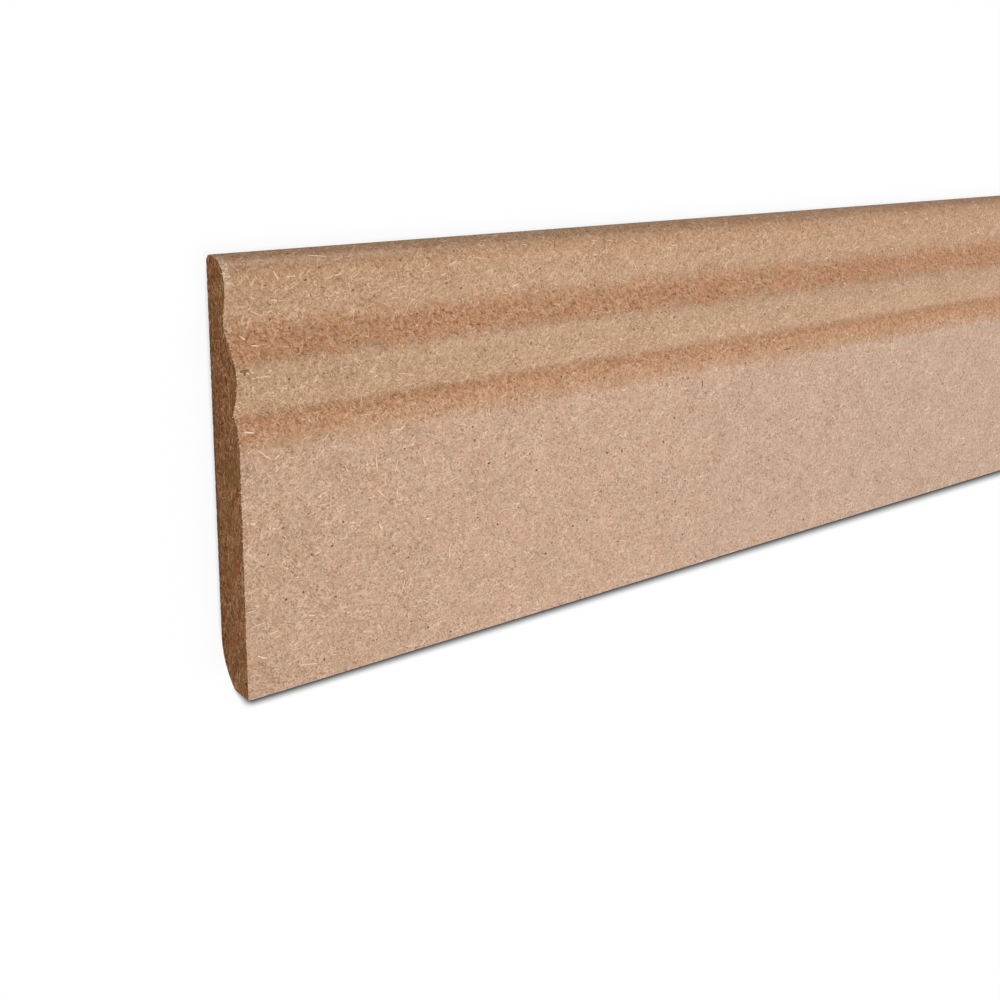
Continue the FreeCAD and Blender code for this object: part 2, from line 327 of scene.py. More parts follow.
def draw_outline():
    """Go once round the section, clockwise from the foot of the face, and close it."""
    lip_radius = (LIP_RUN**2 + QUIRK_DEPTH**2) / (2 * QUIRK_DEPTH)
    flank_rise = QUIRK_DEPTH - CREST_SETBACK
    flank_radius = (BULGE_RUN**2 + flank_rise**2) / (2 * flank_rise)
    radii = COVE_RADIUS + SHOULDER_RADIUS
    shoulder_run = math.sqrt(2 * radii * BEAD_RISE - BEAD_RISE**2)
    shoulder_angle = math.asin(shoulder_run / radii)
    between = BACK_ROUND_RADIUS - HEEL_RADIUS
    across = BACK_ROUND_RUN - HEEL_RADIUS
    down = math.sqrt(between**2 - across**2)
    back_angle = math.atan2(across, down)
    quarter = math.pi / 2
    slope_foot_z = COVE_Z + COVE_RADIUS * (1 - math.cos(slope_angle))

    pen = Pen(BOTTOM + FRONT_ARRIS_RADIUS, FACE)
    pen.run(FACE_END_Y, FACE)
    pen.turn(FACE_END_Y, FACE - lip_radius, -math.asin(LIP_RUN / lip_radius))
    pen.turn(CREST_Y, CREST_Z - flank_radius, -math.asin(BULGE_RUN / flank_radius))
    pen.turn(CREST_Y, CREST_Z - BULGE_RADIUS, -slope_angle)
    pen.run(SLOPE_FOOT_Y, slope_foot_z)
    pen.turn(COVE_Y, COVE_Z + COVE_RADIUS, slope_angle + shoulder_angle)
    pen.turn(COVE_Y + shoulder_run, BEAD_Z - SHOULDER_RADIUS, -shoulder_angle)
    pen.run(TOP - TOP_ROUND_RADIUS, BEAD_Z)
    pen.turn(TOP - TOP_ROUND_RADIUS, BEAD_Z - TOP_ROUND_RADIUS, -quarter)
    pen.run(TOP, BACK + BACK_ARRIS_RADIUS)
    pen.turn(TOP - BACK_ARRIS_RADIUS, BACK + BACK_ARRIS_RADIUS, -quarter)
    pen.run(BOTTOM + BACK_ROUND_RUN, BACK)
    pen.turn(BOTTOM + BACK_ROUND_RUN, BACK + BACK_ROUND_RADIUS, -back_angle)
    pen.turn(BOTTOM + HEEL_RADIUS, BACK + BACK_ROUND_RADIUS - down, back_angle - quarter)
    pen.run(BOTTOM, FACE - FRONT_ARRIS_RADIUS)
    pen.turn(BOTTOM + FRONT_ARRIS_RADIUS, FACE - FRONT_ARRIS_RADIUS, -quarter)

    bm = pen.bm
    bmesh.ops.remove_doubles(bm, verts=bm.verts[:], dist=0.01 * MM)
    for edge in [e for e in bm.edges if e.calc_length() > 2 * FLAT_STEP]:
        cuts = int(edge.calc_length() / FLAT_STEP)
        bmesh.ops.subdivide_edges(bm, edges=[edge], cuts=cuts)
    valley = Vector((LEFT, QUIRK_Y, QUIRK_Z))
    near = [vert for vert in bm.verts if (vert.co - valley).length < QUIRK_SOFTENING]
    for _ in range(QUIRK_SMOOTHINGS):
        bmesh.ops.smooth_vert(bm, verts=near, factor=0.5, use_axis_y=True, use_axis_z=True)
    bmesh.ops.contextual_create(bm, geom=bm.edges[:])
    return bm


board_bm = draw_outline()
print(f"outline of {len(board_bm.verts)} points, {len(board_bm.faces)} face")

# %% [markdown]
# The fibre mat has to follow the moulding, and loose fibres have to lie on it. Both need
# to know how far round the section a point is. That distance is the girth, counted from
# the foot of the face. It is measured once along the outline, with a lookup in each
# direction: from a point to its girth, and from a girth to a point and the way outwards.

# %% Measure the girth
class Girth:
    """How far round the section each point of the outline lies."""

    def __init__(self, cap):
        ring = [vert.co.yz for vert in cap.verts]
        start = min(range(len(ring)), key=lambda i: (ring[i] - Vector((BOTTOM, FACE))).length)
        ring = ring[start:] + ring[:start]
        if ring[8].x < ring[0].x or ring[8].y < FACE - MM:
            ring = [ring[0]] + ring[:0:-1]
        self.ring = ring + [ring[0]]
        self.along = [0.0]
        for first, last in zip(self.ring, self.ring[1:]):
            self.along.append(self.along[-1] + (last - first).length)
        self.total = self.along[-1]
        self.tree = kdtree.KDTree(len(ring))
        for index, point in enumerate(ring):
            self.tree.insert(Vector((0, *point)), index)
        self.tree.balance()

    def of(self, point):
        """Girth of the outline's point nearest to a place on the board."""
        return self.along[self.tree.find(Vector((0, point.y, point.z)))[1]]

    def at(self, girth):
        """The point of the outline at a girth, and the direction outwards there."""
        girth = girth % self.total
        index = max(i for i, reach in enumerate(self.along[:-1]) if reach <= girth)
        first, last = self.ring[index], self.ring[index + 1]
        way = (last - first).normalized()
        point = first + way * (girth - self.along[index])
        return Vector((0, *point)), Vector((0, -way.y, way.x))


girth = Girth(board_bm.faces[:][0])
print(f"girth {girth.total / MM:.1f} mm")

# %% [markdown]
# ## The strip
#
# The section's face is extruded to the other end. Planes then cut the strip across:
# close together near the ends, where the saw has torn the arris, and far apart between
# them, where nothing changes. A real arris is never a mathematical line, so the rims of
# both ends are bevelled by a fraction of a millimetre and then pushed in unevenly.

# %% Extrude and cut the strip
END_CUTS = [reach * MM for reach in (0.45, 0.8, 1.3, 2.0, 3.2, 6.0, 12.0)]
MIDDLE_STEP = 50 * MM
END_BEVEL = 0.22 * MM
CUT_ACCURACY = 0.001 * MM


def extrude_strip(bm):
    """Pull the section to the right end, ease the rims of both ends and cut it across."""
    made = bmesh.ops.extrude_face_region(bm, geom=bm.faces[:])
    moved = [item for item in made["geom"] if isinstance(item, bmesh.types.BMVert)]
    bmesh.ops.translate(bm, verts=moved, vec=(RIGHT - LEFT, 0, 0))
    bmesh.ops.recalc_face_normals(bm, faces=bm.faces[:])

    caps = [face for face in bm.faces if abs(face.normal.x) > 0.9]
    rims = list({edge for face in caps for edge in face.edges})
    bmesh.ops.bevel(
        bm, geom=rims, offset=END_BEVEL, offset_type="OFFSET", affect="EDGES",
        segments=2, profile=0.5, material=-1)

    stations = [LEFT + reach for reach in END_CUTS] + [RIGHT - reach for reach in END_CUTS]
    steps = int((RIGHT - LEFT) / MIDDLE_STEP)
    stations += [LEFT + MIDDLE_STEP * step for step in range(1, steps)]
    for station in stations:
        bmesh.ops.bisect_plane(
            bm, geom=bm.verts[:] + bm.edges[:] + bm.faces[:], dist=CUT_ACCURACY,
            plane_co=(station, 0, 0), plane_no=(1, 0, 0))


extrude_strip(board_bm)
print(f"strip of {len(board_bm.faces)} faces")

# %% [markdown]
# The saw leaves the arris ragged by a fraction of a millimetre, across the board as well
# as along it, and a flake is missing from the rounded top at the left end. Every push goes
# inwards, so that the board stays inside its real size.

# %% Tear the arrises
RAGGED_DEPTH = 0.24 * MM
RAGGED_REACH = 1.6 * MM
RAGGED_LENGTH = 1.1 * MM
RIM_REACH, RIM_SCOOP = 0.3 * MM, 0.20 * MM
CHIP_GIRTH_FROM_CREST = 33.5 * MM
CHIP_DEPTH, CHIP_LENGTH, CHIP_REACH = 0.16 * MM, 2.6 * MM, 2.2 * MM

crest_girth = girth.of(Vector((0, CREST_Y, CREST_Z)))
chip_girth = crest_girth + CHIP_GIRTH_FROM_CREST


def tear_arrises(bm):
    """Push the rims of both ends in by an uneven amount that fades along the board."""
    bm.normal_update()
    pushes = {}
    for vert in bm.verts:
        reach = min(vert.co.x - LEFT, RIGHT - vert.co.x)
        if reach > CHIP_REACH:
            continue
        around = girth.of(vert.co)
        side = math.copysign(1.0, vert.co.x)
        place = Vector((around / RAGGED_LENGTH, 7.0 * side, reach / RAGGED_REACH))
        wave = max(0.0, noise.fractal(place, 0.8, 2.2, 3) + 0.15)
        fade = max(0.0, 1 - reach / RAGGED_REACH) ** 2
        push = RAGGED_DEPTH * wave * fade
        if vert.co.x < 0:
            chip = max(0.0, 1 - ((around - chip_girth) / CHIP_LENGTH) ** 2)
            push += CHIP_DEPTH * chip * max(0.0, 1 - reach / CHIP_REACH) * (0.7 + 0.5 * wave)
        inwards = -girth.at(around)[1]
        pushes[vert] = inwards * push
        if CUT_ACCURACY < reach < RIM_REACH:
            pushes[vert].x -= side * min(1.0, wave) * RIM_SCOOP * reach / RIM_REACH
    for vert, push in pushes.items():
        vert.co += push


tear_arrises(board_bm)
print(f"chip at girth {chip_girth / MM:.1f} mm")

# %% [markdown]
# The surface is smooth everywhere but along the quirk and round the sawn ends, so only
# those edges are marked sharp. A UV map called skin is then unrolled from the board:
# along the length one way and round the girth the other, in metres. The ends keep their
# own flat place, Y by Z.

# %% Mark sharp edges and unroll the skin
SHARP_ANGLE = math.radians(35)


def finish_surface(bm):
    """Shade the strip, name its end faces and write the unrolled map."""
    bmesh.ops.recalc_face_normals(bm, faces=bm.faces[:])
    skin = bm.loops.layers.uv.new("skin")
    for face in bm.faces:
        face.smooth = True
        is_end = abs(face.normal.x) > 0.6
        face.material_index = 1 if is_end else 0
        if abs(face.normal.x) > 0.99:
            for edge in face.edges:
                edge.smooth = False
        around = [girth.of(loop.vert.co) for loop in face.loops]
        wraps = max(around) - min(around) > girth.total / 2
        for loop, reach in zip(face.loops, around):
            if wraps and reach < girth.total / 2:
                reach += girth.total
            loop[skin].uv = loop.vert.co.yz if is_end else (loop.vert.co.x, reach)
    for edge in bm.edges:
        if len(edge.link_faces) == 2 and edge.calc_face_angle() > SHARP_ANGLE:
            edge.smooth = False


finish_surface(board_bm)

# %% [markdown]
# ## Fibres drawn in the surface
#
# The mat is millions of fibres thinner than a pixel, too many to model. A node group
# draws one layer of them. A Voronoi texture, stretched so that its cells are long and
# thin, deals out one cell for each fibre, and the cell draws a single bent stroke through
# its own centre. Its random colour sets how the stroke leans, bends and how long it is.
# All distances are millimetres on the unrolled skin.

# %% Make the group that lays one layer of strokes
def new_group(name, inputs, outputs):
    """A node group with named sockets. Returns its tree, graph and input sockets."""
    tree = bpy.data.node_groups.new(name, "ShaderNodeTree")
    graph = Graph(tree)
    for socket, (kind, default) in inputs.items():
        made = tree.interface.new_socket(socket, in_out="INPUT", socket_type=kind)
        if default is not None:
            made.default_value = default
    for socket, kind in outputs.items():
        tree.interface.new_socket(socket, in_out="OUTPUT", socket_type=kind)
    return tree, graph, graph.add("NodeGroupInput").outputs


NUMBER, VECTOR = "NodeSocketFloat", "NodeSocketVector"
STROKE_INPUTS = {
    "Place": (VECTOR, None), "Heading": (NUMBER, 0.0), "Pitch": (NUMBER, 2.4), "Spacing": (NUMBER, 0.8),
    "Length": (NUMBER, 2.2), "Width": (NUMBER, 0.3), "Lean": (NUMBER, 0.6), "Bend": (NUMBER, 0.9),
    "Share": (NUMBER, 1.0), "Seed": (NUMBER, 0.0),
}

strokes_tree, graph, given = new_group(
    "layer of strokes", STROKE_INPUTS, {"Stroke": NUMBER, "Chance": NUMBER})
turned = graph.add(
    "ShaderNodeVectorRotate", {"Vector": given["Place"], "Angle": given["Heading"]},
    rotation_type="Z_AXIS").outputs[0]
cell_size = graph.add(
    "ShaderNodeCombineXYZ", {0: given["Pitch"], 1: given["Spacing"], 2: 1.0}).outputs[0]
shift = graph.add("ShaderNodeCombineXYZ", {0: given["Seed"], 1: given["Seed"]}).outputs[0]
cells = graph.vector("ADD", graph.vector("DIVIDE", turned, cell_size), shift)
voronoi = graph.add(
    "ShaderNodeTexVoronoi", {"Vector": cells, "Scale": 1.0, "Randomness": 1.0},
    voronoi_dimensions="2D", feature="F1")
chance = graph.add("ShaderNodeSeparateColor", {0: voronoi.outputs["Color"]}).outputs
offset = graph.vector("SUBTRACT", cells, voronoi.outputs["Position"])
along, aside, _ = graph.axes(graph.vector("MULTIPLY", offset, cell_size))
lean = graph.math("MULTIPLY", graph.math("SUBTRACT", chance[0], 0.5), given["Lean"])
bend = graph.math("MULTIPLY", graph.math("SUBTRACT", chance[1], 0.5), given["Bend"])
slant = graph.math("ADD", graph.math("MULTIPLY", bend, along), lean)
aside = graph.math("ABSOLUTE", graph.math("ADD", aside, graph.math("MULTIPLY", slant, along)))
own_width = graph.math("MULTIPLY", given["Width"], graph.ease(chance[1], 0.0, 1.0, 0.65, 1.4))
core = graph.math("MULTIPLY", own_width, 0.08)
edge = graph.math("MULTIPLY", own_width, 0.76)
body = graph.ease(aside, core, edge, 1.0, 0.0)
variety = graph.math("ADD", graph.math("MULTIPLY", chance[2], 0.25), 0.35)
reach = graph.math("MULTIPLY", given["Length"], variety)
tips = graph.ease(graph.math("ABSOLUTE", along), graph.math("MULTIPLY", reach, 0.7), reach, 1.0, 0.0)
pick = graph.math("FRACT", graph.math("MULTIPLY", chance[2], 7.31))
chosen = graph.math("LESS_THAN", pick, given["Share"])
stroke = graph.math("MULTIPLY", graph.math("MULTIPLY", body, tips), chosen)
graph.add("NodeGroupOutput", {"Stroke": stroke, "Chance": pick})
print("stroke group made")

# %% [markdown]
# A second group stacks layers of strokes into a mat. The lowest tone is painted shade, the
# dark of the gaps between fibres. Each layer is then laid over the last, with its own heading
# and with a tone that changes from stroke to stroke, so fibres pass over and under each other.
# Noise bends the whole mat first, because no fibre lies straight. The group puts out one
# tone, where a half is the colour of the board.

# %% Stack the layers into a fibre mat
# Each layer of the mat: heading in turns, stroke length, spacing and width in millimetres,
# darkest and palest tone, and the share of cells that hold a stroke.
FIBRE_LAYERS = (
    (0.06, 1.6, 0.52, 0.30, 0.34, 0.60, 1.0),
    (0.31, 1.5, 0.50, 0.29, 0.32, 0.64, 1.0),
    (0.18, 1.9, 0.58, 0.30, 0.40, 0.66, 1.0),
    (0.44, 1.4, 0.48, 0.28, 0.28, 0.60, 1.0),
    (0.25, 1.8, 0.60, 0.28, 0.42, 0.70, 0.9),
    (0.37, 2.2, 0.85, 0.27, 0.46, 0.74, 0.8),
    (0.49, 2.6, 1.50, 0.26, 0.56, 0.92, 0.3),
    (0.00, 1.0, 0.60, 0.26, 0.12, 0.50, 0.7),
    (0.12, 0.9, 0.80, 0.30, 0.02, 0.32, 0.45),
)
RELIEF_LAYERS = (4, 6)
STROKE_COVER = 0.85
GAP_SHADE_TONE = 0.22
SEED_STEP = 3.7
TONE_LIFT = 0.083
CURL_SIZE, CURL_PUSH = 1.8, 0.7
TURN = 2 * math.pi


def call_group(graph, tree, inputs):
    """Place a node group in a graph and return its outputs."""
    node = graph.add("ShaderNodeGroup", node_tree=tree)
    for name, value in inputs.items():
        if isinstance(value, bpy.types.NodeSocket):
            graph.tree.links.new(value, node.inputs[name])
        else:
            node.inputs[name].default_value = value
    return node.outputs


def noise_node(graph, place, size, detail):
    return graph.add(
        "ShaderNodeTexNoise",
        {"Vector": place, "Scale": 1 / size, "Detail": detail, "Roughness": 0.55},
        noise_dimensions="2D")


def grain(graph, place, size, strength, detail=2.0):
    """Noise about zero, with patches of a size in millimetres."""
    fac = noise_node(graph, place, size, detail).outputs["Fac"]
    return graph.math("MULTIPLY", graph.math("SUBTRACT", fac, 0.5), strength)


def curl(graph, place):
    """Push a place about, so that what is drawn on it bends."""
    push = noise_node(graph, place, CURL_SIZE, 1.0).outputs["Color"]
    push = graph.vector("SUBTRACT", push, (0.5, 0.5, 0.5))
    return graph.vector("ADD", place, graph.scale(push, CURL_PUSH))


def lay_strokes(graph, place, number, lean, seed):
    """One layer of the mat."""
    heading, length, spacing, width, low, high, share = FIBRE_LAYERS[number]
    return call_group(graph, strokes_tree, {
        "Place": place, "Heading": heading * TURN, "Pitch": length, "Length": length,
        "Spacing": spacing, "Width": width, "Lean": lean, "Share": share,
        "Seed": graph.math("ADD", seed, SEED_STEP * number)})


mat_tree, graph, given = new_group(
    "fibre mat",
    {"Place": (VECTOR, None), "Lean": (NUMBER, 0.7), "Contrast": (NUMBER, 1.0),
     "Patches": (NUMBER, 1.0), "Seed": (NUMBER, 0.0)},
    {"Tone": NUMBER},
)
curled = curl(graph, given["Place"])
tone = graph.math("ADD", grain(graph, given["Place"], 0.3, 0.6), GAP_SHADE_TONE)
for number, (_, _, _, _, low, high, share) in enumerate(FIBRE_LAYERS):
    layer = lay_strokes(graph, curled, number, given["Lean"], given["Seed"])
    own = graph.add("ShaderNodeMapRange", {"Value": layer["Chance"], 2: share, 3: low, 4: high})
    cover = graph.math("MULTIPLY", layer["Stroke"], STROKE_COVER)
    tone = graph.add("ShaderNodeMix", {0: cover, 2: tone, 3: own.outputs[0]}, data_type="FLOAT").outputs[0]
tone = graph.math("ADD", tone, grain(graph, given["Place"], 0.28, 0.14, 1.0))
patches = graph.math("ADD", grain(graph, given["Place"], 3.0, 0.15), grain(graph, given["Place"], 10.0, 0.14))
tone = graph.math("ADD", tone, graph.math("MULTIPLY", patches, given["Patches"]))
tone = graph.math("ADD", tone, TONE_LIFT)
contrast = graph.math("MULTIPLY", given["Contrast"], graph.ease(
    grain(graph, given["Place"], 4.5, 1.0), -0.15, 0.15, 0.78, 1.10))
tone = graph.math("MULTIPLY", graph.math("SUBTRACT", tone, 0.5), contrast)
graph.add("NodeGroupOutput", {"Tone": graph.math("ADD", tone, 0.5)})
print(f"mat of {len(FIBRE_LAYERS)} fibre layers")

# %% [markdown]
# Fibres also stand up from the surface by a hair, which raking light shows. A bump map
# does that, but a Bump node works its height out three times over, so it gets a
# shorter sum of its own: two of the same layers, and noise for the hollows.

# %% Make the relief of the mat
relief_tree, graph, given = new_group(
    "fibre relief", {"Place": (VECTOR, None), "Lean": (NUMBER, 0.7), "Seed": (NUMBER, 0.0)},
    {"Height": NUMBER})
curled = curl(graph, given["Place"])
level = grain(graph, given["Place"], 0.8, 1.2, 3.0)
for number in RELIEF_LAYERS:
    layer = lay_strokes(graph, curled, number, given["Lean"], given["Seed"])
    level = graph.math("ADD", level, graph.math("MULTIPLY", layer["Stroke"], 0.3))
graph.add("NodeGroupOutput", {"Height": level})

# %% [markdown]
# ## The skin's material
#
# The face was sanded and is pale. Where a cutter went through it, the softer core lies
# open, browner and a little redder. It shows most on the lip and on the slope, which the
# cutter crosses at an angle, and along the rounded top. Each of these zones is a soft
# band between two heights on the board. Noise moves its border up and down, in clumps of
# fibre and in longer waves, so that it wanders as it does on the real board.

# %% Name the colours
def srgb(red, green, blue):
    """A colour as a picture shows it, from 0 to 255, as the linear colour that a shader takes."""
    def linear(value):
        value /= 255
        return value / 12.92 if value <= 0.04045 else ((value + 0.055) / 1.055) ** 2.4
    return (linear(red), linear(green), linear(blue), 1.0)


WARM_PATCH = srgb(206, 168, 141)
GREY_PATCH = srgb(202, 168, 143)
FAR_PATCH = srgb(201, 170, 148)
CUT_ZONE = srgb(192, 156, 126)
CUT_RED = srgb(211, 155, 117)
CUT_GOLD = srgb(209, 157, 117)
# Painted light: a paler colour for the crest of the moulding.
CREST_PAINTED_LIGHT = srgb(206, 168, 136)
CUT_ROUND = srgb(197, 154, 119)
# Painted highlight: a paler colour high on the rounded top.
ROUND_PAINTED_HIGHLIGHT = srgb(214, 174, 143)
# Painted shade: a darker colour for the top side, which faces away from the sun.
TOP_SIDE_PAINTED_SHADE = srgb(187, 145, 111)
# Painted shade: darker still where the top side comes down to the floor.
TOP_FOOT_PAINTED_SHADE = srgb(156, 128, 104)
DUSTY_CORNER = srgb(212, 190, 168)
# Painted sheen: a greyer colour along the bottom arris.
BOTTOM_ARRIS_HIGHLIGHT = srgb(192, 167, 150)
SAWN_CORE = srgb(142, 99, 61)
SAWN_RED = srgb(147, 94, 58)
SAWN_PALE = srgb(206, 158, 114)
BARK_SPECK = srgb(90, 57, 37)
FIBRE_SHADE = srgb(240, 206, 178)
PALE_FIBRE = srgb(255, 229, 203)

# What the darkest tone of the mat takes away from a colour, and what the palest turns it to.
DARK_TONE = (0.36, 0.24, 0.13, 1.0)
PALE_TONE = srgb(255, 222, 194)
SAWN_DARK_TONE = (0.36, 0.20, 0.03, 1.0)
WHITE = (1.0, 1.0, 1.0, 1.0)


def tint_by_tone(graph, colour, tone, dark, pale):
    """Darken a colour where the mat's tone is under a half, and turn it pale above that."""
    darkness = graph.add("ShaderNodeMapRange", {"Value": tone, 1: 0.0, 2: 0.5}).outputs[0]
    colour = graph.blend(1.0, colour, graph.blend(darkness, dark, WHITE), "MULTIPLY")
    paleness = graph.add("ShaderNodeMapRange", {"Value": tone, 1: 0.5, 2: 1.0}).outputs[0]
    return graph.blend(paleness, colour, pale)


# %% Find places on the skin
def board_height(y):
    """How far a place is above the bottom edge, in millimetres."""
    return (y - BOTTOM) / MM


def band(graph, level, start, full, last, end):
    """A soft band that begins, fills, starts to fade and ends at these heights."""
    rise = graph.ease(level, start, full)
    return graph.math("MULTIPLY", rise, graph.ease(level, last, end, 1.0, 0.0))


def skin_places(graph):
    """In millimetres: the unrolled skin, the height on the board, the depth from the back,
    and how far the nearer sawn end is."""
    unrolled = graph.scale(graph.add("ShaderNodeUVMap", uv_map="skin").outputs[0], 1 / MM)
    solid = graph.scale(graph.add("ShaderNodeTexCoord").outputs["Object"], 1 / MM)
    x, y, z = graph.axes(solid)
    reach = graph.math("SUBTRACT", RIGHT / MM, graph.math("ABSOLUTE", x))
    from_left = graph.math("SUBTRACT", x, LEFT / MM)
    return unrolled, graph.math("SUBTRACT", y, BOTTOM / MM), z, reach, from_left


QUIRK_HEIGHT, FACE_END_HEIGHT = board_height(QUIRK_Y), board_height(FACE_END_Y)

skin_material, graph = matt_material("raw_fibreboard")
unrolled, height, depth, reach, x_reach = skin_places(graph)
clumps = grain(graph, unrolled, 1.6, 5.5, 3.0)
wander = grain(graph, unrolled, 9.0, 5.0)
wandering = graph.math("ADD", graph.math("ADD", height, clumps), wander)
crisp = graph.math("ADD", height, graph.math("MULTIPLY", clumps, 0.2))
ragged = graph.math("ADD", height, graph.math("MULTIPLY", clumps, 0.9))
front = graph.ease(depth, 1.0, 4.0)

# %% Find the zones that the cutters left, and where light and shade are painted
cut = graph.ease(crisp, FACE_END_HEIGHT - 2.0, FACE_END_HEIGHT - 0.2)
lip = band(graph, wandering, 67.5, 78.5, 99.0, 100.0)
lip = graph.math("MULTIPLY", lip, graph.ease(ragged, QUIRK_HEIGHT - 2.8, QUIRK_HEIGHT + 0.8, 1.0, 0.0))
slope = band(graph, wandering, 91.2, 95.1, 98.0, 105.0)
# Painted light along the crest, strongest near the ends of the board.
crest = band(graph, height, 89.0, 90.6, 91.8, 94.0)
crest = graph.math("MULTIPLY", crest, graph.ease(reach, 60.0, 250.0, 1.0, 0.2))
blotches = graph.ease(grain(graph, unrolled, 3.4, 1.0, 4.0), -0.14, 0.10, 0.76, 1.0)
browned = graph.math("MULTIPLY", graph.math("ADD", lip, slope), blotches)
rounded_top = graph.ease(height, 107.0, 115.5)
# Painted highlight high on the rounded top, strong near the ends and faint beyond.
round_highlight = band(graph, height, 115.8, 117.0, 117.6, 118.4)
round_highlight = graph.math("MULTIPLY", round_highlight, graph.ease(reach, 50.0, 80.0, 1.0, 0.15))
# Painted shade on the top side, below a border that wanders along the board.
edge_line = graph.math("ADD", height, grain(graph, unrolled, 24.0, 1.8))
edge_line = graph.math("ADD", edge_line, graph.math("MULTIPLY", clumps, 0.35))
edge_line = graph.math("ADD", edge_line, graph.ease(reach, 0.0, 200.0, -0.6, 1.0))
edge_line = graph.math("ADD", edge_line, graph.ease(reach, 200.0, 400.0, 0.0, -1.4))
top_side_shade = graph.ease(edge_line, 117.1, 118.0)
# Painted shade, deepest at the foot of the top side next to the floor.
top_foot_shade = graph.math("MULTIPLY", top_side_shade, graph.ease(depth, 1.5, 5.5, 1.0, 0.0))

# %% Colour the zones
patches = graph.ease(grain(graph, unrolled, 5.0, 1.0), -0.16, 0.16)
colour = graph.blend(patches, GREY_PATCH, WARM_PATCH)
colour = graph.blend(graph.ease(reach, 130.0, 300.0), colour, FAR_PATCH)
redness = graph.ease(grain(graph, unrolled, 8.0, 1.0, 1.0), -0.14, 0.14)
cut_core = graph.blend(redness, CUT_GOLD, CUT_RED)
for mask, tint, strength in (
    (cut, CUT_ZONE, 0.95), (crest, CREST_PAINTED_LIGHT, 0.9), (rounded_top, CUT_ROUND, 0.9),
    (round_highlight, ROUND_PAINTED_HIGHLIGHT, 0.8), (browned, cut_core, 1.0), (top_side_shade, TOP_SIDE_PAINTED_SHADE, 1.0),
):
    mask = graph.math("MULTIPLY", graph.math("MULTIPLY", mask, front), strength)
    colour = graph.blend(mask, colour, tint)
corner_dust = graph.math("MULTIPLY", graph.ease(x_reach, 0.2, 3.2, 0.7, 0.0), band(graph, ragged, 110.5, 113.5, 119.0, 121.0))
colour = graph.blend(corner_dust, colour, DUSTY_CORNER)
colour = graph.blend(top_foot_shade, colour, TOP_FOOT_PAINTED_SHADE)
# Painted sheen along the bottom arris, in the last millimetre above the edge.
bottom_arris_highlight = graph.ease(height, 0.2, 1.1, 0.9, 0.0)
colour = graph.blend(bottom_arris_highlight, colour, BOTTOM_ARRIS_HIGHLIGHT)
for distance, dust in ((110.0, (0.915, 0.90, 0.865, 1.0)), (3.0, (0.93, 0.89, 0.85, 1.0))):
    nearness = graph.add("ShaderNodeMapRange", {"Value": reach, 1: 0.0, 2: distance, 3: 1.0, 4: 0.0})
    nearness = graph.math("POWER", nearness.outputs[0], 1.5)
    colour = graph.blend(nearness, colour, graph.blend(1.0, colour, dust, "MULTIPLY"))

# %% Lay the mat and its specks over the colours
MAT_FINENESS, MAT_CONTRAST = 0.78, 0.91
CUT_CALM = 0.06

calm = graph.math("MULTIPLY", cut, graph.ease(browned, 0.2, 0.8, 1.0, 0.35))
contrast = graph.math("SUBTRACT", MAT_CONTRAST, graph.math("MULTIPLY", calm, CUT_CALM))
tone = call_group(graph, mat_tree, {
    "Place": graph.scale(unrolled, MAT_FINENESS), "Contrast": contrast})["Tone"]
knots = graph.ease(grain(graph, unrolled, 1.5, 1.0, 4.0), 0.0, 0.14, 0.0, 0.20)
tone = graph.math("SUBTRACT", tone, graph.math("MULTIPLY", knots, browned))
colour = tint_by_tone(graph, colour, tone, DARK_TONE, PALE_TONE)
for pitch, length, width, share, strength in ((2.3, 0.40, 0.36, 0.35, 0.5), (7.0, 0.80, 0.52, 0.26, 1.0)):
    specks = call_group(graph, strokes_tree, {
        "Place": unrolled, "Pitch": pitch, "Spacing": pitch, "Length": length, "Width": width,
        "Lean": 0.0, "Share": share, "Seed": 71.0})["Stroke"]
    strength = graph.math("SUBTRACT", strength, graph.math("MULTIPLY", cut, strength * 0.2))
    colour = graph.blend(graph.math("MULTIPLY", specks, strength), colour, BARK_SPECK)

level = call_group(graph, relief_tree, {"Place": unrolled})["Height"]
relief = graph.add("ShaderNodeBump", {"Strength": 0.8, "Distance": 0.16 * MM, "Height": level})
surface = graph.add("ShaderNodeBsdfPrincipled", {
    "Base Color": colour, "Roughness": 0.88, "Specular IOR Level": 0.25, "Normal": relief.outputs[0]})
graph.add("ShaderNodeOutputMaterial", {"Surface": surface.outputs[0]})
print("skin painted")

# %% [markdown]
# ## The sawn ends
#
# The fibres were pressed flat into layers, so a cut across the board shows them edge on,
# as short streaks that all run the way of the face. The same mat is used with its strokes
# squeezed that way. Light sinks in between the cut fibres, which makes the end the
# darkest surface of the board, and the red of the core comes and goes in streaks.

# %% Paint the sawn ends
end_material, graph = matt_material("sawn_fibreboard")
across_end = graph.scale(graph.add("ShaderNodeUVMap", uv_map="skin").outputs[0], 1 / MM)
streaked = graph.vector("MULTIPLY", across_end, (0.5, 0.95, 1.0))
reddened = graph.ease(grain(graph, streaked, 4.0, 1.0, 2.0), -0.10, 0.14)
end_colour = graph.blend(reddened, SAWN_CORE, SAWN_RED)
end_tone = call_group(graph, mat_tree, {
    "Place": streaked, "Lean": 0.3, "Contrast": 1.6, "Patches": 0.8, "Seed": 5.0})["Tone"]
end_colour = tint_by_tone(graph, end_colour, end_tone, SAWN_DARK_TONE, SAWN_PALE)
end_level = call_group(graph, relief_tree, {"Place": streaked, "Seed": 5.0})["Height"]
end_relief = graph.add("ShaderNodeBump", {"Strength": 0.8, "Distance": 0.15 * MM, "Height": end_level})
end_surface = graph.add("ShaderNodeBsdfPrincipled", {
    "Base Color": end_colour, "Roughness": 0.92, "Specular IOR Level": 0.15,
    "Normal": end_relief.outputs[0]})
